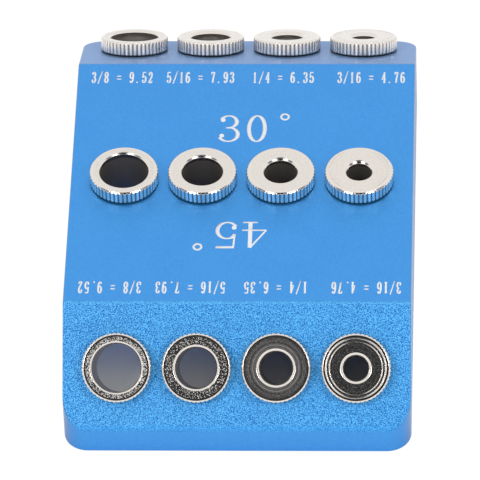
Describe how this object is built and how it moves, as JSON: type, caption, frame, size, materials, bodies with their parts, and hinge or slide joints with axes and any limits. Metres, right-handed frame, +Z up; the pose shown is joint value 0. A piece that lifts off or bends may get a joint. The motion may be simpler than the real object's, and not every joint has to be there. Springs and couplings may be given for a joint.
{
  "type": "drill guide",
  "caption": "Anodised aluminium drill guide block with knurled steel drill bushes square to its flat top and to a steep and a shallow end slope.",
  "frame": {"origin": "middle of the underside", "axes": "+Z up, square to the flat underside; +X along the rows, from the widest bore to the narrowest; +Y from the 45 degree end to the 30 degree end"},
  "size_m": [0.068, 0.1046, 0.0265],
  "materials": {
    "block": "bead-blasted, blue anodised",
    "bush": "turned and bright, knurled rim"
  },
  "bodies": {
    "block": {"block": "block"},
    "bush_45deg_9_52mm": {"bush_45deg_9_52mm": "bush"},
    "bush_45deg_7_93mm": {"bush_45deg_7_93mm": "bush"},
    "bush_45deg_6_35mm": {"bush_45deg_6_35mm": "bush"},
    "bush_45deg_4_76mm": {"bush_45deg_4_76mm": "bush"},
    "bush_90deg_9_52mm": {"bush_90deg_9_52mm": "bush"},
    "bush_90deg_7_93mm": {"bush_90deg_7_93mm": "bush"},
    "bush_90deg_6_35mm": {"bush_90deg_6_35mm": "bush"},
    "bush_90deg_4_76mm": {"bush_90deg_4_76mm": "bush"},
    "bush_30deg_9_52mm": {"bush_30deg_9_52mm": "bush"},
    "bush_30deg_7_93mm": {"bush_30deg_7_93mm": "bush"},
    "bush_30deg_6_35mm": {"bush_30deg_6_35mm": "bush"},
    "bush_30deg_4_76mm": {"bush_30deg_4_76mm": "bush"}
  },
  "joints": [
    {"name": "lift_45deg_9_52mm", "type": "slide", "parent": "block", "child": "bush_45deg_9_52mm", "axis": [0, -0.7071, 0.7071], "range_m": [0, 0.02]},
    {"name": "lift_45deg_7_93mm", "type": "slide", "parent": "block", "child": "bush_45deg_7_93mm", "axis": [0, -0.7071, 0.7071], "range_m": [0, 0.02]},
    {"name": "lift_45deg_6_35mm", "type": "slide", "parent": "block", "child": "bush_45deg_6_35mm", "axis": [0, -0.7071, 0.7071], "range_m": [0, 0.02]},
    {"name": "lift_45deg_4_76mm", "type": "slide", "parent": "block", "child": "bush_45deg_4_76mm", "axis": [0, -0.7071, 0.7071], "range_m": [0, 0.02]},
    {"name": "lift_90deg_9_52mm", "type": "slide", "parent": "block", "child": "bush_90deg_9_52mm", "axis": [0, 0, 1], "range_m": [0, 0.02]},
    {"name": "lift_90deg_7_93mm", "type": "slide", "parent": "block", "child": "bush_90deg_7_93mm", "axis": [0, 0, 1], "range_m": [0, 0.02]},
    {"name": "lift_90deg_6_35mm", "type": "slide", "parent": "block", "child": "bush_90deg_6_35mm", "axis": [0, 0, 1], "range_m": [0, 0.02]},
    {"name": "lift_90deg_4_76mm", "type": "slide", "parent": "block", "child": "bush_90deg_4_76mm", "axis": [0, 0, 1], "range_m": [0, 0.02]},
    {"name": "lift_30deg_9_52mm", "type": "slide", "parent": "block", "child": "bush_30deg_9_52mm", "axis": [0, 0.5, 0.866], "range_m": [0, 0.02]},
    {"name": "lift_30deg_7_93mm", "type": "slide", "parent": "block", "child": "bush_30deg_7_93mm", "axis": [0, 0.5, 0.866], "range_m": [0, 0.02]},
    {"name": "lift_30deg_6_35mm", "type": "slide", "parent": "block", "child": "bush_30deg_6_35mm", "axis": [0, 0.5, 0.866], "range_m": [0, 0.02]},
    {"name": "lift_30deg_4_76mm", "type": "slide", "parent": "block", "child": "bush_30deg_4_76mm", "axis": [0, 0.5, 0.866], "range_m": [0, 0.02]}
  ]
}
